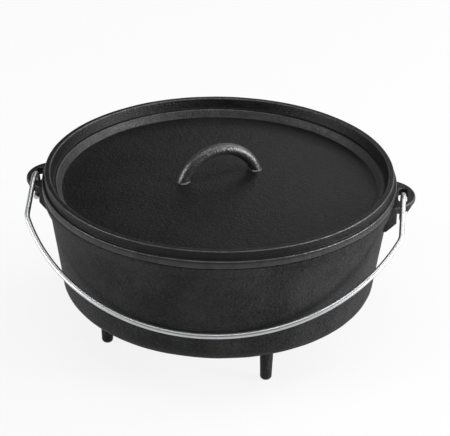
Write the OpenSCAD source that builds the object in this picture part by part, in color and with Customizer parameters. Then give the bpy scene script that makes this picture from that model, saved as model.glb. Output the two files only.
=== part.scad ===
// Camp dutch oven: footed cast iron pot, flanged lid with a coal tray and a loop, and a wire bail.
// Millimetres, +Z up. Origin on the ground under the centre of the pot.
// The two ears lie on the X axis and the bail hangs down the front, towards -Y.

/* [Pot] */

// Outer diameter of the pot's rim, and of the lid's flange above it
rim_d = 335; // [290:1:380]
// Height of the pot from its underside to the seat on which the lid rests
pot_h = 107.7; // [90:0.1:150]
// Slope of the pot's wall from upright, in degrees
draft = 7.55; // [4:0.05:10]
// Thickness of the pot's wall
wall_t = 5; // [4:0.1:7]
// Thickness of the pot's floor
floor_t = 5.5; // [4:0.1:8]
// Outer radius where the wall turns into the floor
corner_r = 15; // [10:0.5:22]
// Height of the band that strengthens the rim
rim_h = 9.2; // [7:0.1:12]
// How far the rim band stands out from the line of the wall, at the seat
rim_step = 4; // [3:0.1:6]
// How much the rim band narrows from the seat to its lower edge
rim_taper = 1.5; // [0.5:0.1:2]
// Radius on the edges of the rim band
rim_edge_r = 1.3; // [0.5:0.1:2]

/* [Legs] */

// Number of legs, evenly spaced
leg_count = 4; // [3:1:5]
// Height of the legs, from the ground to the pot's underside
leg_h = 43.5; // [25:0.5:60]
// Distance of each leg from the centre of the pot
leg_pitch_r = 115.8; // [95:0.1:120]
// Direction of the first leg from the X axis, in degrees
leg_angle = 29; // [0:0.5:90]
// Diameter of a leg where it meets the pot
leg_top_d = 13.5; // [11:0.1:18]
// Diameter of a leg above its rounded foot
leg_foot_d = 10.7; // [9:0.1:11]
// Radius on the foot's edge
foot_edge_r = 3.5; // [2:0.1:4]
// Radius of the fillet between a leg and the pot
leg_fillet_r = 5; // [3:0.5:7]

/* [Ears] */

// How far the ears reach past the rim
ear_reach = 18; // [16:0.1:22]
// Radius of the ear's half-moon outline
ear_r = 31; // [28:0.1:36]
// Thickness of the ear's plate
ear_t = 5; // [4:0.1:6]
// Height of the seat above the top of the ear's plate
ear_drop = 2.2; // [1.5:0.1:4]
// Radius on the edge of the ear's plate
ear_edge_r = 1.6; // [0.8:0.1:1.9]
// Depth of the bracket under the ear, where it meets the wall
bracket_h = 26; // [16:0.5:32]
// Set-back of the bracket from the edge of the plate
bracket_inset = 1.2; // [0.6:0.1:2.5]
// Width of the slot that the bail hooks into
slot_w = 8.5; // [7.5:0.1:9.5]
// Length of the slot
slot_l = 28; // [26:0.5:30]
// Iron between the rim and the slot
slot_inset = 2; // [1.5:0.05:2.5]
// Height of the bars that the slot leaves at its two ends
bar_h = 8; // [6.5:0.1:8.5]

/* [Lid] */

// Height of the lid's flange
flange_h = 7.8; // [6:0.1:10]
// Width of the ledge between the flange and the raised lip
ledge_w = 2.8; // [2:0.1:5]
// Height of the raised lip above the ledge
lip_h = 8.5; // [6:0.1:16]
// Width of the top of the lip
lip_w = 5.2; // [4.4:0.1:7]
// Depth of the coal tray, from the top of the lip to the edge of the lid's panel
tray_depth = 17; // [15:0.1:20]
// Depth of the lip's inner wall, from its top to the shelf inside it
shelf_depth = 10; // [8:0.1:12]
// How much the lip's inner wall leans inwards
lip_taper = 2.7; // [1:0.1:4]
// Width of the shelf inside the lip
shelf_w = 3.3; // [2.6:0.1:5]
// Width of the slope from the shelf down to the panel
slope_w = 4.3; // [3:0.1:7]
// Rise of the domed panel from its edge to its middle
dome_h = 8.6; // [6:0.1:10]
// Thickness of the lid's panel
panel_t = 5.5; // [5:0.1:7]
// Free play of the lid's plug in the mouth of the pot, on each side
plug_gap = 2; // [1.5:0.1:4]
// Radius on the edges of the lid's lip and flange
lid_edge_r = 1.4; // [0.6:0.1:2]

/* [Lid loop] */

// Diameter of the loop's round bar
loop_bar_d = 11; // [9:0.1:13]
// Radius of the loop, to the middle of its bar
loop_r = 39.2; // [30:0.1:48]
// Depth of the loop's centre below the top of the domed panel
loop_sink = 12.8; // [10:0.1:14]
// Direction of the loop from the X axis, in degrees
loop_angle = 29; // [0:0.5:180]
// Radius of the fillet at the loop's two roots
root_fillet_r = 4; // [3:0.1:6]

/* [Bail] */

// Diameter of the bail's wire
wire_d = 5; // [4:0.1:5.5]
// Radius of the hooks, to the middle of the wire
hook_r = 12; // [11:0.1:13]
// How far each hook runs on past its lowest point, in degrees
hook_lap = 30; // [0:1:50]
// Radius of the bends between the arms and the crown
bend_r = 18; // [10:0.5:30]
// How much the crown's radius is larger than half the width of the bail
crown_ease = 16.5; // [8:0.5:30]
// Space between the crown and the lid's flange as the bail swings over it
swing_gap = 2; // [1.5:0.1:8]
// Space between the crown and the pot's wall when the bail hangs down
rest_gap = 0.6; // [0.3:0.1:2]

/* [Hidden] */

$fn = 96;

// Largest turn between two neighbouring points of a rounded corner, in degrees
arc_step = 15;
// Number of steps from the middle of the lid's dome to its edge
dome_steps = 8;
// How far a fused feature is sunk into the piece that carries it
sink = 0.4;
// Space between two lengths of the bail's wire, and how much fuller the sleeve over it is
joint_gap = 0.2;
joint_swell = 0.05;
iron = [0.13, 0.13, 0.14];
wire = [0.72, 0.73, 0.75];

// Levels above the ground
seat_z = leg_h + pot_h;
floor_z = leg_h + floor_t;
rim_z = seat_z - rim_h;
ear_z = seat_z - ear_drop;
ledge_z = seat_z + flange_h;
lip_z = ledge_z + lip_h;
shelf_z = lip_z - shelf_depth;
panel_z = lip_z - tray_depth;

// Radii of the pot and the lid
rim_r = rim_d / 2;
wall_slope = tan(draft);
inside_corner_r = corner_r - 3;
mouth_r = wall_radius(seat_z) - wall_t / cos(draft);
plug_r = mouth_r - plug_gap;
lip_r = rim_r - ledge_w;
lip_in_r = lip_r - lip_w;
shelf_r = lip_in_r - lip_taper;
slope_r = shelf_r - shelf_w;
panel_r = slope_r - slope_w;

// Loop: its centre, the level of the panel at its roots, and the height of that level over the centre
loop_z = panel_level(0) - loop_sink;
root_z = panel_level(loop_r);
root_rise = root_z - loop_z;

// Ear: centre of its outline, middle of its slot, and the bar in front of the slot
ear_x = rim_r + ear_reach - ear_r;
slot_x = rim_r + slot_inset + slot_w / 2;
ear_front = sqrt(pow(ear_r, 2) - pow(slot_x - ear_x, 2));
relief = sink;

// Hinge axis of the bail, along the middle of that bar
hinge_y = -(slot_l / 2 + ear_front) / 2;
hinge_z = ear_z - bar_h / 2;

// Bail: reach of the crown from the hinge, kept clear of the flange's upper edge
wire_r = wire_d / 2;
flange_distance = norm([rim_r + hinge_y, ledge_z - hinge_z]);
crown_distance = flange_distance + wire_r + swing_gap;
bail_reach = sqrt(pow(crown_distance, 2) - pow(hook_r, 2));
crown_r = slot_x + crown_ease;
crown_centre = bail_reach - crown_r;
bend_centre = crown_centre + sqrt(pow(crown_r - bend_r, 2) - pow(slot_x - bend_r, 2));
bend_angle = atan2(bend_centre - crown_centre, slot_x - bend_r);

// Angle of the hanging bail below the level, where its crown lies against the sloping wall
wall_distance = wire_r + rest_gap + cos(draft) * (wall_radius(hinge_z) + hinge_y);
bail_angle = draft + atan2(hook_r, bail_reach) + acos(wall_distance / crown_distance);

// Outer radius of the wall at a level
function wall_radius(z) = rim_r - rim_step - (seat_z - z) * wall_slope;

// Level of the top of the lid's panel at a radius
function panel_level(r) = panel_z + dome_h * (1 - pow(r / panel_r, 2));

// Point of the dome's section at a step, lowered by a depth
function dome_point(i, depth) =
    let (r = panel_r * i / dome_steps)
    [r, panel_level(r) - depth, 0];

// Direction of a vector
function unit(v) = v / norm(v);

// A plane vector turned by an angle
function turned(v, angle) = [v.x * cos(angle) - v.y * sin(angle), v.x * sin(angle) + v.y * cos(angle)];

// Points of the arc about a centre that starts at a spoke and turns by an angle
function arc(centre, spoke, angle) =
    let (steps = ceil(abs(angle) / arc_step))
    [for (i = [0 : steps]) centre + turned(spoke, angle * i / steps)];

// Points that round the corner b, between a and c, to a radius
function round_corner(a, b, c, radius) =
    let (to_a = unit(a - b))
    let (to_c = unit(c - b))
    let (half = acos(to_a * to_c) / 2)
    let (centre = b + unit(to_a + to_c) * radius / sin(half))
    let (spoke = b + to_a * radius / tan(half) - centre)
    arc(centre, spoke, sign(cross(to_c, to_a)) * (180 - 2 * half));

// A point of a section, without its radius
function spot(p) = [p.x, p.y];

// Outline of a section given as points [radius, level, corner radius]
function rounded(points) =
    let (n = len(points))
    [for (i = [0 : n - 1])
        let (a = spot(points[(i + n - 1) % n]))
        let (b = spot(points[i]))
        let (c = spot(points[(i + 1) % n]))
        each points[i].z == 0 ? [b] : round_corner(a, b, c, points[i].z)];

// Section of the pot, from the middle of its underside round the wall to the middle of its floor
pot_section = [
    [0, leg_h, 0],
    [wall_radius(leg_h), leg_h, corner_r],
    [wall_radius(rim_z), rim_z, rim_edge_r],
    [rim_r - rim_taper, rim_z, rim_edge_r],
    [rim_r, seat_z, rim_edge_r],
    [mouth_r, seat_z, rim_edge_r],
    [wall_radius(floor_z) - wall_t / cos(draft), floor_z, inside_corner_r],
    [0, floor_z, 0],
];

// Section of the lid, from the middle of its underside round the plug, flange and lip to the top of the dome
lid_section = [
    each [for (i = [0 : dome_steps]) dome_point(i, panel_t)],
    [plug_r, panel_z - panel_t, lid_edge_r],
    [plug_r, seat_z, lid_edge_r],
    [rim_r, seat_z, lid_edge_r],
    [rim_r, ledge_z, lid_edge_r],
    [lip_r, ledge_z, lid_edge_r / 2],
    [lip_r, lip_z, lid_edge_r],
    [lip_in_r, lip_z, lid_edge_r],
    [shelf_r, shelf_z, lid_edge_r],
    [slope_r, shelf_z, lid_edge_r],
    [panel_r, panel_z, lid_edge_r],
    each [for (i = [1 : dome_steps]) dome_point(dome_steps - i, 0)],
];

// Section of a leg, from its foot up to the fillet that is sunk into the pot
leg_section = [
    [0, 0, 0],
    [leg_foot_d / 2, 0, foot_edge_r],
    [leg_top_d / 2, leg_h + sink, leg_fillet_r],
    [leg_top_d / 2 + leg_fillet_r, leg_h + sink, 0],
    [leg_top_d / 2 + leg_fillet_r, leg_h + floor_t / 2, 0],
    [0, leg_h + floor_t / 2, 0],
];

// Section of the ear's plate about the centre of its outline
plate_section = [
    [0, ear_z - ear_t, 0],
    [ear_r, ear_z - ear_t, ear_edge_r],
    [ear_r, ear_z, ear_edge_r],
    [0, ear_z, 0],
];

// Section of a root of the lid's loop, a concave fillet round the bar
root_section = [
    [0, root_z - panel_t / 2, 0],
    [loop_bar_d / 2 + root_fillet_r, root_z - panel_t / 2, 0],
    [loop_bar_d / 2 + root_fillet_r, root_z - sink, 0],
    [loop_bar_d / 2 - 2 * sink, root_z - sink, root_fillet_r],
    [loop_bar_d / 2 - 2 * sink, root_z + root_fillet_r, 0],
    [0, root_z + root_fillet_r, 0],
];

module leg() {
    rotate_extrude()
        polygon(rounded(leg_section));
}

// Bracket that slopes from the ear's nose down to the wall, open under the bars where the hook turns
module ear_bracket() {
    nose_x = rim_r + ear_reach - bracket_inset;
    foot_x = wall_radius(ear_z - bracket_h);
    back_x = foot_x - wall_t;
    middle_z = ear_z - ear_t / 2;
    foot_z = ear_z - bracket_h;
    difference() {
        intersection() {
            translate([ear_x, 0, foot_z])
                cylinder(h = bracket_h, r = ear_r - bracket_inset);
            rotate([90, 0, 0])
                linear_extrude(height = 4 * ear_r, center = true)
                    polygon([
                        [back_x, middle_z],
                        [nose_x, middle_z],
                        [nose_x, ear_z - ear_t],
                        [foot_x, foot_z],
                        [back_x, foot_z],
                    ]);
        }
        translate([slot_x - slot_w / 2 - relief, -2 * ear_r, foot_z - 1])
            cube([slot_w + 2 * relief, 4 * ear_r, bracket_h - bar_h + 1]);
    }
}

// Slot for the bail, with round ends
module ear_slot() {
    end_y = (slot_l - slot_w) / 2;
    translate([slot_x, 0, ear_z - bracket_h / 2])
        linear_extrude(height = bracket_h) {
            square([slot_w, 2 * end_y], center = true);
            translate([0, end_y])
                circle(d = slot_w);
            translate([0, -end_y])
                circle(d = slot_w);
        }
}

// One ear, rooted in the middle of the wall's thickness
module ear() {
    low_z = ear_z - bracket_h - 1;
    root_t = wall_t / 2;
    difference() {
        union() {
            translate([ear_x, 0, 0])
                rotate_extrude()
                    polygon(rounded(plate_section));
            ear_bracket();
        }
        ear_slot();
        translate([0, 0, low_z])
            cylinder(h = seat_z - low_z, r1 = wall_radius(low_z) - root_t, r2 = wall_radius(seat_z) - root_t);
    }
}

// Pot casting: wall, floor and rim in one section, two ears and the legs
module pot() {
    color(iron) {
        rotate_extrude()
            polygon(rounded(pot_section));
        for (side = [0, 1])
            mirror([side, 0, 0])
                ear();
        for (i = [0 : leg_count - 1])
            rotate([0, 0, leg_angle + i * 360 / leg_count])
                translate([leg_pitch_r, 0, 0])
                    leg();
    }
}

// Loop on top of the lid: an arch of round bar that leans into a filleted root at each end
module lid_loop() {
    root_x = sqrt(pow(loop_r, 2) - pow(root_rise + root_fillet_r / 2, 2));
    root_turn = asin((root_rise - panel_t / 2) / loop_r);
    rotate([0, 0, loop_angle]) {
        translate([0, 0, loop_z])
            rotate([90, 0, 0])
                rotate([0, 0, root_turn])
                    rotate_extrude(angle = 180 - 2 * root_turn)
                        translate([loop_r, 0])
                            circle(d = loop_bar_d);
        for (side = [-1, 1])
            translate([side * root_x, 0, 0])
                rotate_extrude()
                    polygon(rounded(root_section));
    }
}

// Lid casting: plug, flange, lip and domed panel in one section, with the loop
module lid() {
    color(iron) {
        rotate_extrude()
            polygon(rounded(lid_section));
        lid_loop();
    }
}

// Length of wire bent in a ring about Z, from the X axis on
module wire_bend(radius, angle) {
    trim = joint_gap / radius * 180 / PI;
    rotate([0, 0, trim])
        rotate_extrude(angle = angle - 2 * trim)
            translate([radius, 0])
                circle(r = wire_r);
}

// Joint of two lengths of wire along Y, a short sleeve that is just fuller than the wire
module wire_joint() {
    rotate([90, 0, 0])
        cylinder(h = 5 * joint_gap, r = wire_r + joint_swell, center = true);
}

// One side of the bail: bend, straight arm, and the hook round the ear's bar
module bail_side() {
    translate([slot_x - bend_r, -bend_centre, hook_r])
        rotate([0, 0, -bend_angle]) {
            wire_bend(bend_r, bend_angle);
            translate([bend_r, 0, 0])
                wire_joint();
        }
    translate([slot_x, -bend_centre, hook_r])
        wire_joint();
    translate([slot_x, -joint_gap, hook_r])
        rotate([90, 0, 0])
            cylinder(h = bend_centre - 2 * joint_gap, r = wire_r);
    translate([slot_x, 0, hook_r])
        wire_joint();
    translate([slot_x, 0, 0])
        rotate([0, 90, 0])
            rotate([0, 0, -hook_lap])
                wire_bend(hook_r, 180 + hook_lap);
}

// Bail: one length of wire, hooked into both ears and hanging against the front of the pot
module bail_handle() {
    color(wire)
        translate([0, hinge_y, hinge_z])
            rotate([bail_angle, 0, 0]) {
                translate([0, -crown_centre, hook_r])
                    rotate([0, 0, 180 + bend_angle])
                        wire_bend(crown_r, 180 - 2 * bend_angle);
                for (side = [0, 1])
                    mirror([side, 0, 0])
                        bail_side();
            }
}

pot();
lid();
bail_handle();
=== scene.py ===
import logging
import math
from dataclasses import dataclass, replace
from enum import Enum
from typing import Sequence, Union

import bpy
import numpy as np
from mathutils import Matrix, Vector


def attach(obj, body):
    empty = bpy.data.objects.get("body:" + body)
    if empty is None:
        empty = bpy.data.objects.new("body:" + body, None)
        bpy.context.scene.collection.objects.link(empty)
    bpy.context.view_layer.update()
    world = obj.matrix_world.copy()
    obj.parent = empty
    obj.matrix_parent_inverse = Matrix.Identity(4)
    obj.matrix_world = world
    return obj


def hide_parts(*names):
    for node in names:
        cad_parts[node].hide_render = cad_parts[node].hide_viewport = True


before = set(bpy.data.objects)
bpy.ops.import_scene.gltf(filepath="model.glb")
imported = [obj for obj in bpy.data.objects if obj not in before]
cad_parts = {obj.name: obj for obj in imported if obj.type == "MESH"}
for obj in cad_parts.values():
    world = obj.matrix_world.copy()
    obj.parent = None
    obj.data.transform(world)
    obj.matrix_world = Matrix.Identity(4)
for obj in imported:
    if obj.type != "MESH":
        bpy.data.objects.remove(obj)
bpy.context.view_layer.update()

# A camp dutch oven in a white studio. Sizes of its pieces are in mm, in the part's own frame:
# Z is up from the ground, the ears lie on X, and the bail hangs at -Y, on the camera's side.

LOG = logging.getLogger("camp_oven")

# One mm in Blender's metres
MM = 0.001
FULL_TURN = 2.0 * math.pi
HALF_TURN = math.pi
QUARTER_TURN = math.pi / 2
# Least divisor, so that nothing is divided by zero
TINY = 1e-9
# Faces that meet at more than this angle keep a sharp edge
SHARP_ANGLE = math.radians(50.0)
# Largest turn between two points of a rounded corner, and its fewest steps
ARC_STEP = math.radians(8.0)
FEWEST_ARC_STEPS = 4
# Points on a quarter circle that rounds a small edge
EDGE_POINTS = 6
# Largest radius of a lofted edge, as a share of the section's smaller side
EDGE_SHARE = 0.45
# Outer corners of a section with a smaller radius than this get the weight of rubbed edges
RUBBED_RADIUS = 4.0
# Radius on edges that are buried in a casting
BURIED_EDGE = 0.3
# Number of the waves of a casting's unevenness, and their shortest and longest length
WAVES = 18
WAVE_LENGTHS = (16.0, 85.0)
# Sockets of the Mix node when it mixes colours: its two inputs and its output
MIX_LOW = 6
MIX_HIGH = 7
MIX_RESULT = 2

Colour = tuple[float, float, float]
Corner = tuple[float, float, float]
Row = Union[np.ndarray, float]
Number = Union["Field", float]
Tint = Union["Field", Colour]
Settings = dict[str, object]
Sockets = dict[object, object]


class Body(Enum):
    """Bodies of the frame that carry the pieces."""

    POT = "pot"
    LID = "lid"
    BAIL = "bail"


class Slot(Enum):
    """Material slots of the record."""

    POT = "pot_iron"
    LID = "lid_iron"
    BAIL = "bail_wire"


@dataclass
class Shell:
    """Closed surfaces held as arrays, in mm.

    Attributes:
        points: one row (x, y, z) per point.
        faces: arrays of point numbers, one row per face, grouped by the number of corners.
        wear_and_shine: weight per point of the rubbed edges and of the lid's lighter slope band, from 0 to
            1.
        grain: one row per point with the coordinates along which a finish is drawn.
        polish: weight per point of what hands have polished, from 0 to 1.
    """

    points: np.ndarray
    faces: list[np.ndarray]
    wear_and_shine: np.ndarray
    grain: np.ndarray
    polish: np.ndarray

    @staticmethod
    def of(points: np.ndarray, faces: list[np.ndarray], wear_and_shine: np.ndarray) -> "Shell":
        """Makes an unpolished shell whose faces look outwards and whose grain is its own points.

        Args:
            points: one row (x, y, z) per point, in mm.
            faces: arrays of point numbers, one row per face.
            wear_and_shine: weight per point of the rubbed edges and the lighter slope band.

        Returns:
            The shell, with its faces turned over if its volume came out negative.
        """
        shell = Shell(points, faces, wear_and_shine, points.copy(), np.zeros(len(points)))
        return shell if shell.volume() > 0 else shell.flipped()

    @staticmethod
    def joined(shells: Sequence["Shell"]) -> "Shell":
        """Puts several shells into one.

        Args:
            shells: the shells to put together.

        Returns:
            One shell with all their surfaces.
        """
        starts = np.cumsum([0] + [len(s.points) for s in shells])
        faces = [rows + start for s, start in zip(shells, starts) for rows in s.faces]
        labels = ("points", "wear_and_shine", "grain", "polish")
        columns = {label: np.concatenate([getattr(s, label) for s in shells]) for label in labels}
        return Shell(faces=faces, **columns)

    def volume(self) -> float:
        """Works out the signed volume inside the faces.

        It is a sixth of the sum of the triple products of the corners of all triangles, where each
        face is cut into triangles from its first corner.

        Returns:
            The volume in cubic mm.
        """
        total = 0.0
        for rows in self.faces:
            corners = self.points[rows]
            first = corners[:, :1]
            a = corners[:, 1:-1]
            b = corners[:, 2:]
            total += float(np.sum(first * np.cross(a, b))) / 6.0
        return total

    def flipped(self) -> "Shell":
        """Returns the shell with every face turned over."""
        return replace(self, faces=[rows[:, ::-1] for rows in self.faces])

    def normals(self) -> np.ndarray:
        """Works out a normal per point: the sum of the normals of the faces around it, scaled to 1.

        A face's normal is the cross product of its diagonals, which for a triangle are two of its sides.

        Returns:
            One row (x, y, z) per point.
        """
        sums = np.zeros_like(self.points)
        for rows in self.faces:
            corners = self.points[rows]
            across = np.cross(corners[:, 2] - corners[:, 0], corners[:, -1] - corners[:, 1])
            np.add.at(sums, rows.ravel(), np.repeat(across, rows.shape[1], axis=0))
        return sums / np.maximum(np.linalg.norm(sums, axis=1, keepdims=True), TINY)

    def uneven(self, seed: int, depth: float) -> "Shell":
        """Moves the surface in and out by the slow unevenness of a sand casting.

        Each point moves along its normal by a sum of sine waves that have random directions, lengths
        and phases. The sum is divided by the root of half their number, so its usual size is the depth.

        Args:
            seed: seed of the waves.
            depth: usual size of the move, in mm.

        Returns:
            The moved shell.
        """
        random = np.random.default_rng(seed)
        ways = unit(random.normal(size=(WAVES, 3)))
        lengths = random.uniform(*WAVE_LENGTHS, size=WAVES)
        phases = random.uniform(0.0, FULL_TURN, WAVES)
        waves = np.sin(self.points @ (ways * FULL_TURN / lengths[:, None]).T + phases)
        swell = depth * waves.sum(axis=1) / math.sqrt(WAVES / 2)
        return replace(self, points=self.points + self.normals() * swell[:, None])

    def placed(self, turn: float, shift: Sequence[float]) -> "Shell":
        """Turns the shell about Z, then shifts it.

        Args:
            turn: angle in radians.
            shift: move along X, Y and Z, in mm.

        Returns:
            The placed shell.
        """
        c, s = math.cos(turn), math.sin(turn)
        spin = np.array([[c, s, 0.0], [-s, c, 0.0], [0.0, 0.0, 1.0]])
        return replace(self, points=self.points @ spin + np.asarray(shift, float))

    def mirrored(self, axis: int) -> "Shell":
        """Returns the shell's mirror image along an axis, 0 for X, 1 for Y and 2 for Z."""
        return replace(self, points=self.points * np.where(np.arange(3) == axis, -1.0, 1.0)).flipped()

    def to_object(self, name: str, material: bpy.types.Material) -> bpy.types.Object:
        """Makes a Blender object of the shell, in metres, with its wear, polish and grain as attributes.

        Args:
            name: name of the object.
            material: finish of the object.

        Returns:
            The object, linked to the scene.
        """
        mesh = bpy.data.meshes.new(name)
        loops = np.concatenate([rows.ravel() for rows in self.faces])
        counts = np.concatenate([np.full(len(rows), rows.shape[1]) for rows in self.faces])
        mesh.vertices.add(len(self.points))
        mesh.vertices.foreach_set("co", (self.points * MM).astype(np.float32).ravel())
        mesh.loops.add(len(loops))
        mesh.loops.foreach_set("vertex_index", loops.astype(np.int32))
        mesh.polygons.add(len(counts))
        mesh.polygons.foreach_set("loop_start", (np.cumsum(counts) - counts).astype(np.int32))
        mesh.polygons.foreach_set("use_smooth", np.ones(len(counts), dtype=bool))
        mesh.update(calc_edges=True)
        mesh.validate()
        mesh.set_sharp_from_angle(angle=SHARP_ANGLE)
        for label, weights in (("wear_and_shine", self.wear_and_shine), ("polish", self.polish)):
            layer = mesh.attributes.new(label, "FLOAT", "POINT")
            layer.data.foreach_set("value", weights.astype(np.float32))
        drawn = mesh.attributes.new("grain", "FLOAT_VECTOR", "POINT")
        drawn.data.foreach_set("vector", (self.grain * MM).astype(np.float32).ravel())
        mesh.materials.append(material)
        piece = bpy.data.objects.new(name, mesh)
        bpy.context.scene.collection.objects.link(piece)
        return piece


@dataclass(frozen=True)
class Fineness:
    """How finely a turned surface is cut.

    Attributes:
        turns: number of steps round the axis.
        spacing: largest step along a straight run of the section, in mm.
    """

    turns: int
    spacing: float


def grey(value: float) -> Colour:
    """Returns the colour whose three parts have one value."""
    return (value, value, value)


def unit(rows: np.ndarray) -> np.ndarray:
    """Returns each row scaled to a length of 1."""
    return rows / np.linalg.norm(rows, axis=1, keepdims=True)


def rows_of(*columns: Row) -> np.ndarray:
    """Returns rows made of columns, each of them an array or one number for all rows."""
    return np.stack(np.broadcast_arrays(*columns), axis=-1)


def ring_faces(rows: int, columns: int, closed_rows: bool) -> np.ndarray:
    """Numbers the quads of a grid of rings, each between two neighbours of a ring and the two ahead of them.

    Args:
        rows: number of rings.
        columns: number of points in a ring.
        closed_rows: whether the last ring joins the first.

    Returns:
        One row of four point numbers per quad.
    """
    number = np.arange(rows * columns).reshape(rows, columns)
    beside = np.roll(number, -1, axis=1)
    ahead = np.roll(number, -1, axis=0)
    ahead_beside = np.roll(beside, -1, axis=0)
    last = rows if closed_rows else rows - 1
    quads = np.stack([number, beside, ahead_beside, ahead], axis=-1)
    return quads[:last].reshape(-1, 4)


def capped(grid: np.ndarray, first: np.ndarray, last: np.ndarray, wear_and_shine: np.ndarray) -> Shell:
    """Closes a tube of rings with a fan of triangles at each end.

    Args:
        grid: points of the rings, by ring, place in the ring and axis.
        first: middle of the fan before the first ring.
        last: middle of the fan after the last ring.
        wear_and_shine: weight per ring and place.

    Returns:
        The closed shell.
    """
    rows, columns = grid.shape[:2]
    points = np.concatenate([grid.reshape(-1, 3), first[None], last[None]])
    here = np.arange(columns)
    beside = np.roll(here, -1)
    foot = np.stack([np.full(columns, rows * columns), beside, here], axis=1)
    top = (rows - 1) * columns
    head = np.stack([np.full(columns, rows * columns + 1), here + top, beside + top], axis=1)
    weights = np.concatenate([wear_and_shine.ravel(), np.zeros(2)])
    return Shell.of(points, [ring_faces(rows, columns, False), np.concatenate([foot, head])], weights)


def rounded_path(corners: Sequence[Corner], spacing: float) -> tuple[np.ndarray, np.ndarray]:
    """Lays a path through corners, each rounded by an arc of its own radius.

    An arc's centre lies on the line that halves its corner, as far in as the radius over the sine of
    half the corner's angle. The arc starts as far back as the radius over the tangent of that half,
    and turns by half a turn less the corner's angle. The runs between arcs are cut into equal steps.

    Args:
        corners: (distance from the axis, level, radius) of each corner, in mm. The ends aren't rounded.
        spacing: largest step along a straight run, in mm.

    Returns:
        The points as rows (distance, level), and a weight per point, which rises as a sine to 1 in
        the middle of each tight outer corner.
    """
    table = np.asarray(corners, float)
    spots, radii = table[:, :2], table[1:-1, 2]
    back = unit(spots[:-2] - spots[1:-1])
    ahead = unit(spots[2:] - spots[1:-1])
    half = np.arccos(np.clip(np.sum(back * ahead, axis=1), -1.0, 1.0)) / 2.0
    centres = spots[1:-1] + unit(back + ahead) * (radii / np.sin(half))[:, None]
    spokes = spots[1:-1] + back * (radii / np.tan(half))[:, None] - centres
    bends = np.sign(back[:, 1] * ahead[:, 0] - back[:, 0] * ahead[:, 1]) * (HALF_TURN - 2.0 * half)
    points: list[np.ndarray] = [spots[:1]]
    weights: list[np.ndarray] = [np.zeros(1)]
    for centre, spoke, bend in list(zip(centres, spokes, bends)) + [(spots[-1], np.zeros(2), 0.0)]:
        steps = max(FEWEST_ARC_STEPS, math.ceil(abs(bend) / ARC_STEP)) if bend else 0
        angles = np.linspace(0.0, bend, steps + 1)
        arc = centre + np.stack([
            spoke[0] * np.cos(angles) - spoke[1] * np.sin(angles),
            spoke[0] * np.sin(angles) + spoke[1] * np.cos(angles),
        ], axis=1)
        start = points[-1][-1]
        pieces = max(1, math.ceil(float(np.linalg.norm(arc[0] - start)) / spacing))
        run = start + (arc[0] - start) * np.linspace(0.0, 1.0, pieces + 1)[1:-1, None]
        tight = float(np.linalg.norm(spoke)) < RUBBED_RADIUS and bend > 0.0
        points += [run, arc]
        weights += [np.zeros(len(run)), np.sin(np.linspace(0.0, HALF_TURN, steps + 1)) * tight]
    return np.concatenate(points), np.concatenate(weights)


def revolved(corners: Sequence[Corner], fineness: Fineness) -> Shell:
    """Turns a section about Z. The section starts and ends on the axis.

    A point is its distance from the axis times the cosine and the sine of the angle, at its level.

    Args:
        corners: (distance from the axis, level, radius) of each corner of the section, in mm.
        fineness: steps round the axis and along the section.

    Returns:
        The closed shell.
    """
    path, weight = rounded_path(corners, fineness.spacing)
    angle = np.linspace(0.0, FULL_TURN, fineness.turns, endpoint=False)
    reach, level = path[1:-1, 0][:, None], path[1:-1, 1][:, None]
    grid = rows_of(reach * np.cos(angle), reach * np.sin(angle), level)
    ends = rows_of(0.0, 0.0, path[[0, -1], 1])
    return capped(grid, ends[0], ends[1], np.repeat(weight[1:-1, None], fineness.turns, axis=1))


def swept(centre: np.ndarray, out: np.ndarray, aside: np.ndarray, radius: np.ndarray, sides: int) -> Shell:
    """Runs a round section along a path.

    A point is a point of the path plus the radius times a spoke, which is the cosine of the angle
    times the vector out plus the sine of the angle times the vector aside.

    Args:
        centre: points of the path, one row each, in mm.
        out: unit vector square to the path at each point.
        aside: unit vector square to the path and to out at each point.
        radius: radius of the section at each point, in mm.
        sides: number of points round the section.

    Returns:
        The closed shell, with the place in the section and the length along the path as its grain.
    """
    angle = np.linspace(0.0, FULL_TURN, sides, endpoint=False)
    c, s = np.cos(angle), np.sin(angle)
    spoke = c[None, :, None] * out[:, None] + s[None, :, None] * aside[:, None]
    grid = centre[:, None] + radius[:, None, None] * spoke
    shell = capped(grid, centre[0], centre[-1], np.zeros(grid.shape[:2]))
    steps = np.linalg.norm(np.diff(centre, axis=0), axis=1)
    along = np.concatenate([[0.0], np.cumsum(steps)])
    around = rows_of(radius[:, None] * c, radius[:, None] * s, along[:, None]).reshape(-1, 3)
    ends = rows_of(0.0, 0.0, along[[0, -1]])
    return replace(shell, grain=np.concatenate([around, ends]))


def lofted(x: np.ndarray, sides: tuple[Row, Row], levels: tuple[Row, Row], soft: float) -> Shell:
    """Runs a four-sided section along X, with its two lower edges rounded by quarter circles.

    At each place the section goes round both quarter circles and then over the two upper corners.

    Args:
        x: places of the sections along X, in mm.
        sides: lower and higher Y of each section.
        levels: lower and higher Z of each section.
        soft: largest radius of the lower edges.

    Returns:
        The closed shell.
    """
    left, right, low, high = (np.broadcast_to(v, x.shape)[:, None] for v in (*sides, *levels))
    radius = np.minimum(soft, EDGE_SHARE * np.minimum(right - left, high - low))
    turn = np.linspace(0.0, QUARTER_TURN, EDGE_POINTS)
    near = rows_of(left + radius * (1.0 - np.cos(turn)), low + radius * (1.0 - np.sin(turn)))
    far = rows_of(right - radius * (1.0 - np.sin(turn)), low + radius * (1.0 - np.cos(turn)))
    loop = np.concatenate([near, far, rows_of(right, high), rows_of(left, high)], axis=1)
    grid = rows_of(x[:, None], loop[..., 0], loop[..., 1])
    middle = grid.mean(axis=1)
    return capped(grid, middle[0], middle[-1], np.zeros(grid.shape[:2]))


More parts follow.
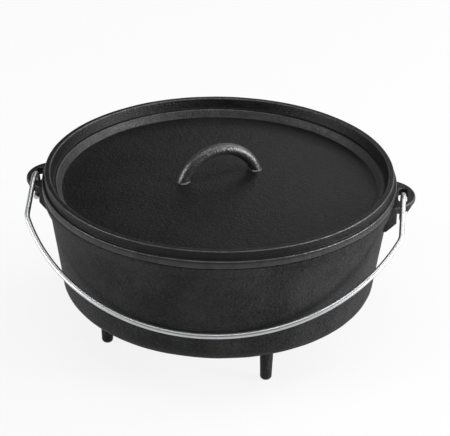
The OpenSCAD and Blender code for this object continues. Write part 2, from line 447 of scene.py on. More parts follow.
class Field:
    """A shader socket that takes part in arithmetic."""

    def __init__(self, kit: "NodeKit", socket: bpy.types.NodeSocket) -> None:
        """Wraps a socket.

        Args:
            kit: maker of the material's nodes.
            socket: output socket that carries the number.
        """
        self.kit = kit
        self.socket = socket

    def _math(self, operation: str, *values: Number) -> "Field":
        """Returns the result of a Math node on these values."""
        return self.kit.field("ShaderNodeMath", {"operation": operation}, dict(enumerate(values)))

    def __add__(self, other: Number) -> "Field":
        """Returns the sum."""
        return self._math("ADD", self, other)

    def __radd__(self, other: Number) -> "Field":
        """Returns the sum."""
        return self._math("ADD", other, self)

    def __sub__(self, other: Number) -> "Field":
        """Returns the difference."""
        return self._math("SUBTRACT", self, other)

    def __rsub__(self, other: Number) -> "Field":
        """Returns the difference."""
        return self._math("SUBTRACT", other, self)

    def __mul__(self, other: Number) -> "Field":
        """Returns the product."""
        return self._math("MULTIPLY", self, other)

    def __rmul__(self, other: Number) -> "Field":
        """Returns the product."""
        return self._math("MULTIPLY", other, self)

    def clipped(self) -> "Field":
        """Returns the value held between 0 and 1."""
        return self._math("MINIMUM", self._math("MAXIMUM", self, 0.0), 1.0)

    def stepped(self, low: float, high: float) -> "Field":
        """Returns 0 below low, 1 above high, and a smooth rise between."""
        sockets = {"Value": self, "From Min": low, "From Max": high}
        return self.kit.field("ShaderNodeMapRange", {"interpolation_type": "SMOOTHSTEP"}, sockets)

    def between(self, low: Tint, high: Tint) -> "Field":
        """Mixes two colours by the value.

        Args:
            low: colour where the value is 0, a fixed one or a Field.
            high: colour where the value is 1, a fixed one or a Field.

        Returns:
            The mixed colour.
        """
        start, end = (tint if isinstance(tint, Field) else (*tint, 1.0) for tint in (low, high))
        sockets = {"Factor": self, MIX_LOW: start, MIX_HIGH: end}
        return self.kit.field("ShaderNodeMix", {"data_type": "RGBA"}, sockets, MIX_RESULT)


@dataclass(frozen=True)
class Mottle:
    """Fractal noise over a surface, about 0.5 on average.

    Attributes:
        scale: number of its cells in a metre.
        detail: number of finer layers.
        rough: strength of each layer against the one before.
        low: value up to which its mask is 0.
        high: value from which its mask is 1.
    """

    scale: float
    detail: float
    rough: float
    low: float = 0.0
    high: float = 1.0


class NodeKit:
    """Maker of the nodes of one material or of the world."""

    def __init__(self, owner: Union[bpy.types.Material, bpy.types.World]) -> None:
        """Starts with an empty node tree.

        Args:
            owner: material or world that the nodes belong to.
        """
        owner.use_nodes = True
        self.tree = owner.node_tree
        self.tree.nodes.clear()

    def node(self, kind: str, settings: Settings, sockets: Sockets) -> bpy.types.Node:
        """Adds a node.

        Args:
            kind: Blender's name of the node type.
            settings: properties of the node.
            sockets: inputs by name or number, each a Field, a socket or a constant.

        Returns:
            The node.
        """
        made = self.tree.nodes.new(kind)
        for key, value in settings.items():
            setattr(made, key, value)
        for key, value in sockets.items():
            source = value.socket if isinstance(value, Field) else value
            if isinstance(source, bpy.types.NodeSocket):
                self.tree.links.new(source, made.inputs[key])
            else:
                made.inputs[key].default_value = source
        return made

    def field(self, kind: str, settings: Settings, sockets: Sockets, output: Union[str, int] = 0) -> Field:
        """Adds a node and wraps one of its outputs.

        Args:
            kind: Blender's name of the node type.
            settings: properties of the node.
            sockets: inputs by name or number.
            output: name or number of the output.

        Returns:
            The output as a Field.
        """
        return Field(self, self.node(kind, settings, sockets).outputs[output])

    def place(self) -> Field:
        """Returns the place on the piece, in its own coordinates."""
        return self.field("ShaderNodeTexCoord", {}, {}, "Object")

    def attribute(self, name: str, output: str) -> Field:
        """Returns an attribute of the mesh."""
        return self.field("ShaderNodeAttribute", {"attribute_name": name}, {}, output)

    def noise(self, place: Field, mottle: Mottle) -> Field:
        """Returns fractal noise at a place."""
        sockets = {"Scale": mottle.scale, "Detail": mottle.detail, "Roughness": mottle.rough}
        return self.field("ShaderNodeTexNoise", {}, {"Vector": place, **sockets})

    def mask(self, place: Field, mottle: Mottle) -> Field:
        """Returns fractal noise at a place, spread from 0 at its low value to 1 at its high value."""
        return self.noise(place, mottle).stepped(mottle.low, mottle.high)

    def cells(self, place: Field, scale: float, smooth: float) -> Field:
        """Returns the distance to the nearest of many scattered points, smoothed."""
        sockets = {"Vector": place, "Scale": scale, "Smoothness": smooth}
        return self.field("ShaderNodeTexVoronoi", {"feature": "SMOOTH_F1"}, sockets)

    def bump(self, height: Field, strength: float, distance: float) -> Field:
        """Returns a normal that follows a height."""
        sockets = {"Height": height, "Strength": strength, "Distance": distance}
        return self.field("ShaderNodeBump", {}, sockets)

    def seen(self) -> Field:
        """Marks the rays that see a surface, by the sum of three tests of the ray, held to 1.

        Returns:
            1 for rays from the camera, a reflection or a see-through piece, and 0 for others.
        """
        rays = self.node("ShaderNodeLightPath", {}, {})
        kinds = ("Is Camera Ray", "Is Glossy Ray", "Is Transmission Ray")
        camera, glossy, through = (Field(self, rays.outputs[kind]) for kind in kinds)
        return (camera + glossy + through).clipped()

    def close(self, sockets: Sockets) -> None:
        """Ends a material in a Principled shader with these inputs."""
        shader = self.node("ShaderNodeBsdfPrincipled", {}, sockets)
        self.node("ShaderNodeOutputMaterial", {}, {"Surface": shader.outputs[0]})


@dataclass(frozen=True)
class CastIron:
    """Black seasoned cast iron: pebbled skin, patchy oil film, and bare metal on its rubbed edges, its
    polished parts and the lid's lighter slope band.

    Attributes:
        name: name of the material.
        dark: colour of the deepest patches.
        light: colour of the dry patches.
        rubbed: colour of the bare metal.
        rough: roughness of the film on average.
        gloss: specular level of the film.
        pebble: strength of the pebbled skin.
        refraction: refractive index of the film.
        patches: patches of the oil film.
        skin: fine skin of the casting.
        swell: waves under the skin.
        pits: small hollows in the skin.
        specks: specks of bare metal.
        rubbing: breaks in the rubbed edges.
        pebbles: number of pebbles in a metre.
        pebble_smooth: how softly the pebbles run into each other.
        metal: how much of a metal the bare iron is.
        relief: depth of the skin, in metres.
    """

    name: str
    dark: Colour
    light: Colour
    rubbed: Colour
    rough: float
    gloss: float
    pebble: float
    refraction: float = 1.5
    patches: Mottle = Mottle(22.0, 4.0, 0.6, 0.36, 0.66)
    skin: Mottle = Mottle(420.0, 5.0, 0.62)
    swell: Mottle = Mottle(190.0, 2.0, 0.5)
    pits: Mottle = Mottle(170.0, 2.0, 0.5, 0.66, 0.76)
    specks: Mottle = Mottle(900.0, 1.0, 0.4, 0.72, 0.79)
    rubbing: Mottle = Mottle(90.0, 3.0, 0.6, 0.05, 0.6)
    pebbles: float = 560.0
    pebble_smooth: float = 0.6
    metal: float = 0.85
    relief: float = 0.0015

    def material(self) -> bpy.types.Material:
        """Makes the finish as a material.

        Bare metal is the rubbed edges with the lid's lighter slope band, the polish and a part of the
        specks, added up. The film between dark and light is the patches plus what the skin departs from its
        middle. Roughness follows the patches and the skin, and falls where the metal is bare. The height of
        the skin is the sum of the fine skin, the pebbles and the swell, less the pits. Each part has its own
        weight.

        Returns:
            The material.
        """
        finish = bpy.data.materials.new(self.name)
        kit = NodeKit(finish)
        place = kit.place()
        wear_and_shine = kit.attribute("wear_and_shine", "Fac")
        polish = kit.attribute("polish", "Fac")
        patch = kit.mask(place, self.patches)
        skin = kit.noise(place, self.skin)
        pebbles = kit.cells(place, self.pebbles, self.pebble_smooth)
        # The wear-and-shine weight holds the rubbed edges and, on the lid, the slope band that is given the
        # lighter, partly metallic finish.
        edge = wear_and_shine * kit.mask(place, self.rubbing)
        bare = (edge + polish * (0.6 + skin * 0.6) + kit.mask(place, self.specks) * 0.4).clipped()
        film = (patch * 0.6 + (skin - 0.5) * 2.2 + 0.25).clipped()
        rough = (self.rough + (patch - 0.5) * 0.08 + (skin - 0.5) * 0.2 - bare * 0.12).clipped()
        hollows = kit.mask(place, self.pits) * 0.35
        height = skin * 0.8 + pebbles * 0.45 - hollows + kit.noise(place, self.swell) * 0.7
        kit.close({
            "Base Color": bare.between(film.between(self.dark, self.light), self.rubbed),
            "Roughness": rough,
            "Metallic": bare * self.metal,
            "IOR": self.refraction,
            "Specular IOR Level": self.gloss,
            "Normal": kit.bump(height, self.pebble, self.relief),
        })
        return finish


@dataclass(frozen=True)
class PlatedWire:
    """Bright plated wire with the fine lines of its drawing.

    Attributes:
        name: name of the material.
        bright: colour of the plating.
        dull: colour where it is handled.
        rough: roughness on average.
        lines: lines of the drawing, across the wire.
        drawn: size of the lines across the wire as a share of their length along it.
        patches: handled patches.
        nicks: small nicks.
        line_strength: strength of the lines' relief.
        relief: depth of the lines, in metres.
    """

    name: str
    bright: Colour
    dull: Colour
    rough: float
    lines: Mottle = Mottle(2600.0, 3.0, 0.6)
    drawn: float = 0.02
    patches: Mottle = Mottle(60.0, 3.0, 0.6, 0.4, 0.7)
    nicks: Mottle = Mottle(480.0, 2.0, 0.5, 0.68, 0.74)
    line_strength: float = 0.05
    relief: float = 0.0002

    def material(self) -> bpy.types.Material:
        """Makes the finish as a material.

        The lines are noise in the wire's own grain, drawn out along its length. Dullness and roughness
        are sums of the patches, the lines and the nicks, each with its own weight. The height is the
        lines less the nicks.

        Returns:
            The material.
        """
        finish = bpy.data.materials.new(self.name)
        kit = NodeKit(finish)
        place = kit.place()
        stretch = {0: kit.attribute("grain", "Vector"), 1: (1.0, 1.0, self.drawn)}
        along = kit.field("ShaderNodeVectorMath", {"operation": "MULTIPLY"}, stretch)
        lines = kit.noise(along, self.lines)
        patch = kit.mask(place, self.patches)
        nicks = kit.mask(place, self.nicks)
        dull = (patch * 0.55 + lines * 0.4 - 0.1 + nicks * 0.4).clipped()
        rough = (self.rough + (lines - 0.5) * 0.16 + patch * 0.08 + nicks * 0.2).clipped()
        kit.close({
            "Base Color": dull.between(self.bright, self.dull),
            "Roughness": rough,
            "Metallic": 1.0,
            "Normal": kit.bump(lines - nicks * 0.6, self.line_strength, self.relief),
        })
        return finish


@dataclass(frozen=True)
class OvenSizes:
    """Driving sizes that the pot, the lid and the bail share, in mm.

    Attributes:
        rim: radius of the pot's rim and of the lid's flange above it.
        leg_height: height from the ground to the pot's underside.
        pot_height: height from the underside to the seat on which the lid rests.
        rim_step: how far the rim stands out from the line of the wall.
        wall: thickness of the wall.
        draft: slope of the wall from upright, in radians.
        flange: height of the lid's flange.
        sink: how far a feature is sunk into what carries it.
    """

    rim: float = 167.5
    leg_height: float = 43.5
    pot_height: float = 107.7
    rim_step: float = 4.0
    wall: float = 5.0
    draft: float = math.radians(7.55)
    flange: float = 7.8
    sink: float = 0.4

    @property
    def seat(self) -> float:
        """Returns the level of the seat on which the lid rests."""
        return self.leg_height + self.pot_height

    @property
    def ledge(self) -> float:
        """Returns the level of the top of the lid's flange."""
        return self.seat + self.flange

    def wall_at(self, level: float) -> float:
        """Returns the outer radius of the wall, which shrinks by the draft's tangent below the seat."""
        return self.rim - self.rim_step - (self.seat - level) * math.tan(self.draft)

    def inside_at(self, level: float) -> float:
        """Returns the inner radius of the wall at a level."""
        return self.wall_at(level) - self.wall / math.cos(self.draft)


@dataclass(frozen=True)
class Ear:
    """Ear of the pot on the +X side: a slotted half-moon plate on a sloping bracket. Sizes in mm.

    Attributes:
        oven: sizes of the oven.
        reach: how far the ear stands out past the rim.
        radius: radius of the half-moon.
        drop: depth of the plate's top below the seat.
        thickness: thickness of the plate.
        outer_edge: radius on the edge of the half-moon.
        slot_edge: radius on the edge of the slot.
        slot_width: width of the slot, along X.
        slot_length: length of the slot, along Y.
        slot_inset: iron between the rim and the slot.
        bar_height: height of the bars at both ends of the slot.
        bracket_depth: depth of the bracket's foot below the plate's top.
        bracket_inset: set-back of the bracket from the edge of the half-moon.
        bracket_edge: radius on the bracket's lower edges.
        web_edge: radius on the lower edges of the webs that make the bars.
        nose: half the bracket's width at its outer end.
        root: how far plate and bracket are sunk into the wall.
        plate_steps: number of rays that the plate is laid on.
        loft_steps: number of sections in a stretch of the bracket or a web.
        across_steps: number of steps across the plate's top and underside.
    """

    oven: OvenSizes
    reach: float = 18.0
    radius: float = 31.0
    drop: float = 2.2
    thickness: float = 5.0
    outer_edge: float = 1.6
    slot_edge: float = 0.9
    slot_width: float = 8.5
    slot_length: float = 28.0
    slot_inset: float = 2.0
    bar_height: float = 8.0
    bracket_depth: float = 26.0
    bracket_inset: float = 1.2
    bracket_edge: float = 1.6
    web_edge: float = 1.2
    nose: float = 0.2
    root: float = 3.0
    plate_steps: int = 220
    loft_steps: int = 24
    across_steps: int = 7

    @property
    def centre_x(self) -> float:
        """Returns the X of the half-moon's centre."""
        return self.oven.rim + self.reach - self.radius

    @property
    def nose_x(self) -> float:
        """Returns the X of the bracket's outer end."""
        return self.centre_x + self.radius - self.bracket_inset

    @property
    def slot_x(self) -> float:
        """Returns the X of the slot's middle."""
        return self.oven.rim + self.slot_inset + self.slot_half

    @property
    def slot_half(self) -> float:
        """Returns half the slot's width, which is also the radius of its round ends."""
        return self.slot_width / 2

    @property
    def slot_run(self) -> float:
        """Returns the distance from the slot's middle to the centre of each round end."""
        return self.slot_length / 2 - self.slot_half

    @property
    def top(self) -> float:
        """Returns the level of the plate's top."""
        return self.oven.seat - self.drop

    @property
    def bottom(self) -> float:
        """Returns the level of the plate's underside."""
        return self.top - self.thickness

    @property
    def bar_y(self) -> float:
        """Returns the Y of the front bar's middle, halfway from the slot's end to the half-moon."""
        return -(self.slot_length / 2 + math.sqrt(self.radius ** 2 - (self.slot_x - self.centre_x) ** 2)) / 2

    @property
    def bar_z(self) -> float:
        """Returns the level of the bars' middle."""
        return self.top - self.bar_height / 2

    def plate(self) -> Shell:
        """Makes the plate, a band between the slot and the half-moon edge.

        Each ray from the middle of the slot meets the slot's side or round end first, and the
        half-moon or the plate's root in the wall last. The plate's section is stretched between the two.

        Returns:
            The closed plate.
        """
        angle = np.linspace(0.0, FULL_TURN, self.plate_steps, endpoint=False)
        c, s = np.cos(angle), np.sin(angle)
        side = self.slot_half / np.maximum(np.abs(c), TINY)
        room = np.maximum(self.slot_half ** 2 - (self.slot_run * c) ** 2, 0.0)
        end = self.slot_run * np.abs(s) + np.sqrt(room)
        inner = np.where(side * np.abs(s) <= self.slot_run, side, end)
        offset = self.centre_x - self.slot_x
        outer = offset * c + np.sqrt((offset * c) ** 2 - offset ** 2 + self.radius ** 2)
        root_x = self.oven.rim - self.oven.rim_step - self.root
        outer = np.where(c < 0, np.minimum(outer, (root_x - self.slot_x) / np.minimum(c, -TINY)), outer)
        share, inset, level, worn = (column[:, None] for column in self.plate_section().T)
        reach = (1.0 - share) * (inner + inset) + share * (outer - inset)
        grid = rows_of(self.slot_x + reach * c, reach * s, level)
        faces = ring_faces(*grid.shape[:2], True)
        return Shell.of(grid.reshape(-1, 3), [faces], np.broadcast_to(worn, grid.shape[:2]).ravel())

    def plate_section(self) -> np.ndarray:
        """Lays the plate's section: a quarter circle at each of its four edges, with straight runs between.

        Only the two upper edges are rubbed, most in the middle of their quarter circles.

        Returns:
            Rows (share of the way from the slot to the half-moon, inset, level, wear).
        """
        up = np.linspace(0.0, QUARTER_TURN, EDGE_POINTS)
        down = up[::-1]
        edges = (
            (0.0, self.slot_edge, up, self.bottom, 1.0),
            (0.0, self.slot_edge, down, self.top, -1.0),
            (1.0, self.outer_edge, up, self.top, -1.0),
            (1.0, self.outer_edge, down, self.bottom, 1.0),
        )
        slot_low, slot_high, outer_high, outer_low = (
            rows_of(
                share,
                edge * (1.0 - np.sin(turn)),
                level + inward * edge * (1.0 - np.cos(turn)),
                np.sin(2.0 * turn) * (inward < 0.0),
            )
            for share, edge, turn, level, inward in edges
        )
        across = np.linspace(0.0, 1.0, self.across_steps + 1)[1:-1]
        between = self.slot_edge + (self.outer_edge - self.slot_edge) * across
        return np.concatenate([
            slot_low,
            slot_high,
            rows_of(across, between, self.top, 0.0),
            outer_high,
            outer_low,
            rows_of(across, between, self.bottom, 0.0)[::-1],
        ])

    def half_width(self, x: np.ndarray) -> np.ndarray:
        """Returns half the bracket's width along X, which follows a circle inside the half-moon."""
        room = (self.radius - self.bracket_inset) ** 2 - (x - self.centre_x) ** 2
        return np.sqrt(np.maximum(room, self.nose ** 2))

    def bracket(self, start: float, stop: float) -> Shell:
        """Lofts a stretch of the bracket, whose underside rises straight from its foot to its nose.

        Args:
            start: X of the inner end.
            stop: X of the outer end.

        Returns:
            The closed stretch.
        """
        x = np.linspace(start, stop, self.loft_steps)
        foot = self.top - self.bracket_depth
        slope = (self.bottom - foot) / (self.nose_x - self.oven.wall_at(foot))
        low = np.maximum(foot, self.bottom - (self.nose_x - x) * slope)
        half = self.half_width(x)
        return lofted(x, (-half, half), (low, self.top - self.thickness / 2), self.bracket_edge)

    def web(self) -> Shell:
        """Makes the web under the plate that forms the back bar, from the slot's end to the bracket's side.

        Returns:
            The closed web.
        """
        reach = self.slot_half + self.oven.sink
        x = np.linspace(self.slot_x - reach, self.slot_x + reach, self.loft_steps)
        bulge = np.sqrt(np.maximum(self.slot_half ** 2 - (x - self.slot_x) ** 2, 0.0))
        levels = (self.top - self.bar_height, self.top - self.thickness / 2)
        return lofted(x, (self.slot_run + bulge, self.half_width(x)), levels, self.web_edge)

    def shell(self) -> Shell:
        """Makes the ear: the plate, the bracket on both sides of the slot, and a web at each of its ends.

        Returns:
            The ear's closed surfaces.
        """
        reach = self.slot_half + self.oven.sink
        foot_x = self.oven.wall_at(self.top - self.bracket_depth)
        gusset = self.bracket(foot_x - self.root, self.slot_x - reach)
        rib = self.bracket(self.slot_x + reach, self.nose_x)
        web = self.web()
        return Shell.joined([self.plate(), gusset, rib, web, web.mirrored(1)])


@dataclass
class PotCasting:
    """Pot with its rim, ears and legs, cast in one. Sizes in mm.

    Attributes:
        finish: finish of the casting.
        ear: the ear on the +X side. The other is its mirror image.
        floor: thickness of the floor.
        corner: outer radius where the wall turns into the floor.
        inside_corner: inner radius there.
        rim_height: height of the rim band.
        rim_taper: how much the band narrows downwards.
        rim_edge: radius on the edges of the band.
        rim_fillet: radius where the band meets the wall.
        seat_edge: radius on the outer edge of the seat.
        leg_circle: distance of the legs from the axis.
        leg_turn: direction of the first leg from X, in radians.
        leg_count: number of legs.
        leg_top: radius of a leg where it meets the pot.
        leg_foot: radius of a leg at its foot.
        foot_edge: radius on the foot's edge.
        leg_fillet: radius of the fillet between leg and pot.
        leg_collar: height of the fillet's collar, which is buried in the pot.
        body_mesh: fineness of the body.
        leg_mesh: fineness of a leg.
        seed: seed of the unevenness.
        unevenness: usual size of the unevenness.
    """

    finish: CastIron
    ear: Ear
    floor: float = 5.5
    corner: float = 15.0
    inside_corner: float = 12.0
    rim_height: float = 9.2
    rim_taper: float = 1.5
    rim_edge: float = 1.3
    rim_fillet: float = 1.6
    seat_edge: float = 2.4
    leg_circle: float = 115.8
    leg_turn: float = math.radians(29.0)
    leg_count: int = 4
    leg_top: float = 6.75
    leg_foot: float = 5.35
    foot_edge: float = 3.5
    leg_fillet: float = 5.0
    leg_collar: float = 2.0
    body_mesh: Fineness = Fineness(360, 6.0)
    leg_mesh: Fineness = Fineness(72, 2.5)
    seed: int = 11
    unevenness: float = 0.07

    def body(self) -> Shell:
        """Makes the body: a section from the axis below, round the wall, to the axis inside, turned about Z.

        Returns:
            The closed body. The lid covers the rim, so its edges are unrubbed.
        """
        oven = self.ear.oven
        under = oven.leg_height
        inside = under + self.floor
        band = oven.seat - self.rim_height
        turned = revolved([
            (0.0, under, 0.0),
            (oven.wall_at(under), under, self.corner),
            (oven.wall_at(band), band, self.rim_fillet),
            (oven.rim - self.rim_taper, band, self.rim_edge),
            (oven.rim, oven.seat, self.seat_edge),
            (oven.inside_at(oven.seat), oven.seat, self.rim_edge),
            (oven.inside_at(inside), inside, self.inside_corner),
            (0.0, inside, 0.0),
        ], self.body_mesh)
        return replace(turned, wear_and_shine=np.zeros(len(turned.points)))

    def leg(self) -> Shell:
        """Makes one leg, a tapered stud with a fillet at its top, standing at the origin.

        Returns:
            The closed leg.
        """
        top = self.ear.oven.leg_height + self.ear.oven.sink
        collar = self.leg_top + self.leg_fillet
        return revolved([
            (0.0, 0.0, 0.0),
            (self.leg_foot, 0.0, self.foot_edge),
            (self.leg_top, top, self.leg_fillet),
            (collar, top, BURIED_EDGE),
            (collar, top + self.leg_collar, BURIED_EDGE),
            (0.0, top + self.leg_collar, 0.0),
        ], self.leg_mesh)

    def build(self) -> list[bpy.types.Object]:
        """Makes and dresses the piece.

        Returns:
            The piece.
        """
        ear = self.ear.shell()
        leg = self.leg()
        turns = self.leg_turn + np.arange(self.leg_count) * FULL_TURN / self.leg_count
        spots = self.leg_circle * rows_of(np.cos(turns), np.sin(turns), 0.0)
        legs = [leg.placed(float(turn), spot) for turn, spot in zip(turns, spots)]
        cast = Shell.joined([self.body(), ear, ear.mirrored(0), *legs])
        shell = cast.uneven(self.seed, self.unevenness)
        piece = shell.to_object("pot_casting", self.finish.material())
        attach(piece, Body.POT.value)
        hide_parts("pot")
        return [piece]


@dataclass
class LidCasting:
    """Lid with its plug, flange, lip and loop, cast in one. Sizes in mm.

    Attributes:
        finish: finish of the casting.
        oven: sizes of the oven.
        seat_gap: space between lid and seat, which keeps their surfaces apart.
        plug_gap: free play of the plug in the pot's mouth, on each side.
        ledge_width: width of the ledge between the flange and the lip.
        lip_height: height of the lip above the ledge.
        lip_width: width of the lip's top.
        lip_taper: how much the lip's inner wall leans inwards.
        shelf_depth: depth of the shelf inside the lip below its top.
        shelf_width: width of the shelf.
        tray_depth: depth of the panel's edge below the lip's top.
        slope_width: width of the slope from the shelf down to the panel.
        dome: rise of the panel from its edge to its middle.
        panel_thickness: thickness of the panel.
        edge: radius on the edges of the plug, the lip's inner wall and the shelf.
        flange_edge: radius on the flange's lower edge.
        ledge_edge: radius on the flange's upper edge.
        lip_fillet: radius where the lip meets the ledge.
        lip_edge: radius on the lip's outer edge.
        panel_fillet: radius where the slope meets the panel.
        slope_shine: how much of the lighter, partly metallic finish the slope is given all round.
        loop_radius: radius of the loop, to the middle of its bar.
        loop_bar: radius of the bar.
        loop_sink: depth of the loop's centre below the top of the dome.
        loop_turn: direction of the loop from X, in radians.
        root_fillet: radius of the fillet at the loop's roots.
        root_depth: depth to which the roots are buried.
        plate_mesh: fineness of the lid without its loop.
        root_mesh: fineness of a root.
        bar_steps: number of points along the bar.
        bar_sides: number of points round the bar.
        seed: seed of the unevenness.
        unevenness: usual size of the unevenness.
    """

    finish: CastIron
    oven: OvenSizes
    seat_gap: float = 0.05
    plug_gap: float = 2.0
    ledge_width: float = 2.8
    lip_height: float = 8.5
    lip_width: float = 5.2
    lip_taper: float = 2.7
    shelf_depth: float = 10.0
    shelf_width: float = 3.3
    tray_depth: float = 17.0
    slope_width: float = 4.3
    dome: float = 8.6
    panel_thickness: float = 5.5
    edge: float = 1.4
    flange_edge: float = 2.0
    ledge_edge: float = 1.1
    lip_fillet: float = 0.7
    lip_edge: float = 1.0
    panel_fillet: float = 1.8
    slope_shine: float = 0.4
    loop_radius: float = 39.2
    loop_bar: float = 5.5
    loop_sink: float = 12.8
    loop_turn: float = math.radians(29.0)
    root_fillet: float = 4.0
    root_depth: float = 2.5
    plate_mesh: Fineness = Fineness(360, 4.5)
    root_mesh: Fineness = Fineness(56, 2.0)
    bar_steps: int = 120
    bar_sides: int = 48
    seed: int = 5
    unevenness: float = 0.07

    @property
    def lip(self) -> float:
        """Returns the level of the lip's top."""
        return self.oven.ledge + self.lip_height

    @property
    def shelf(self) -> float:
        """Returns the level of the shelf."""
        return self.lip - self.shelf_depth

    @property
    def panel(self) -> float:
        """Returns the level of the panel's edge."""
        return self.lip - self.tray_depth

    @property
    def slope_reach(self) -> float:
        """Returns the radius of the top of the slope, where the shelf ends."""
        return self.oven.rim - self.ledge_width - self.lip_width - self.lip_taper - self.shelf_width

    @property
    def panel_reach(self) -> float:
        """Returns the radius of the panel."""
        return self.slope_reach - self.slope_width

    def rise_at(self, reach: Row) -> Row:
        """Returns the dome's height above the panel's edge, a parabola of the distance from the axis."""
        return self.dome * np.maximum(1.0 - (reach / self.panel_reach) ** 2, 0.0)

    def section(self) -> list[Corner]:
        """Lays the lid's section with a flat panel, from the axis below to the axis on top.

        Returns:
            The corners of the section.
        """
        rim, low, base = self.oven.rim, self.panel - self.panel_thickness, self.oven.seat + self.seat_gap
        plug = self.oven.inside_at(self.oven.seat) - self.plug_gap
        lip = rim - self.ledge_width
        shelf = self.slope_reach + self.shelf_width
        return [
            (0.0, low, 0.0),
            (plug, low, self.edge),
            (plug, base, self.edge),
            (rim, base, self.flange_edge),
            (rim, self.oven.ledge, self.ledge_edge),
            (lip, self.oven.ledge, self.lip_fillet),
            (lip, self.lip, self.lip_edge),
            (lip - self.lip_width, self.lip, self.edge),
            (shelf, self.shelf, self.edge),
            (self.slope_reach, self.shelf, self.edge),
            (self.panel_reach, self.panel, self.panel_fillet),
            (0.0, self.panel, 0.0),
        ]

    def plate(self) -> Shell:
        """Makes the lid without its loop: the flat section turned about Z, its panel raised to the dome.

        The slope between the panel and the shelf is given a little of the lighter, partly metallic finish
        all round, which makes it a brighter band than the panel.

        Returns:
            The closed plate.
        """
        flat = revolved(self.section(), self.plate_mesh)
        reach = np.hypot(flat.points[:, 0], flat.points[:, 1])
        level = flat.points[:, 2]
        slope = (reach > self.panel_reach) & (level > self.panel) & (level < self.shelf)
        # The slope gets a share of the lighter, partly metallic finish all round, a band brighter than the
        # panel.
        wear_and_shine = np.maximum(flat.wear_and_shine, self.slope_shine * slope)
        return replace(flat, points=flat.points + rows_of(0.0, 0.0, self.rise_at(reach)), wear_and_shine=wear_and_shine)

    def loop(self) -> list[Shell]:
        """Makes the loop: its bar and two roots.

        The bar is a round section along an arc that ends half the panel's thickness below the dome's
        surface. A root is a section with a concave fillet, turned about Z and set where the arc passes
        half the fillet's height above the dome.

        Returns:
            The closed bar and roots, polished all over.
        """
        centre_z = self.panel + self.dome - self.loop_sink
        root_z = self.panel + float(self.rise_at(self.loop_radius))
        start = math.asin((root_z - centre_z - self.panel_thickness / 2) / self.loop_radius)
        turn = np.linspace(start, HALF_TURN - start, self.bar_steps)[:, None]
        along = np.array([math.cos(self.loop_turn), math.sin(self.loop_turn), 0.0])
        across = np.array([-math.sin(self.loop_turn), math.cos(self.loop_turn), 0.0])
        out = np.cos(turn) * along + np.sin(turn) * np.array([0.0, 0.0, 1.0])
        centre = np.array([0.0, 0.0, centre_z]) + self.loop_radius * out
        thick = np.full(self.bar_steps, self.loop_bar)
        bar = swept(centre, out, np.broadcast_to(across, out.shape), thick, self.bar_sides)
        foot, neck = self.loop_bar + self.root_fillet, self.loop_bar - 2.0 * self.oven.sink
        root = revolved([
            (0.0, root_z - self.root_depth, 0.0),
            (foot, root_z - self.root_depth, BURIED_EDGE),
            (foot, root_z - self.oven.sink, BURIED_EDGE),
            (neck, root_z - self.oven.sink, self.root_fillet),
            (neck, root_z + self.root_fillet, BURIED_EDGE),
            (0.0, root_z + self.root_fillet, 0.0),
        ], self.root_mesh)
        middle = root_z - centre_z + self.root_fillet / 2
        reach = math.sqrt(self.loop_radius ** 2 - middle ** 2)
        roots = [root.placed(0.0, along * reach), root.placed(0.0, -along * reach)]
        return [replace(part, polish=np.ones(len(part.points))) for part in (bar, *roots)]

    def build(self) -> list[bpy.types.Object]:
        """Makes and dresses the piece.

        Returns:
            The piece.
        """
        shell = Shell.joined([self.plate(), *self.loop()]).uneven(self.seed, self.unevenness)
        piece = shell.to_object("lid_casting", self.finish.material())
        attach(piece, Body.LID.value)
        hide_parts("lid")
        return [piece]


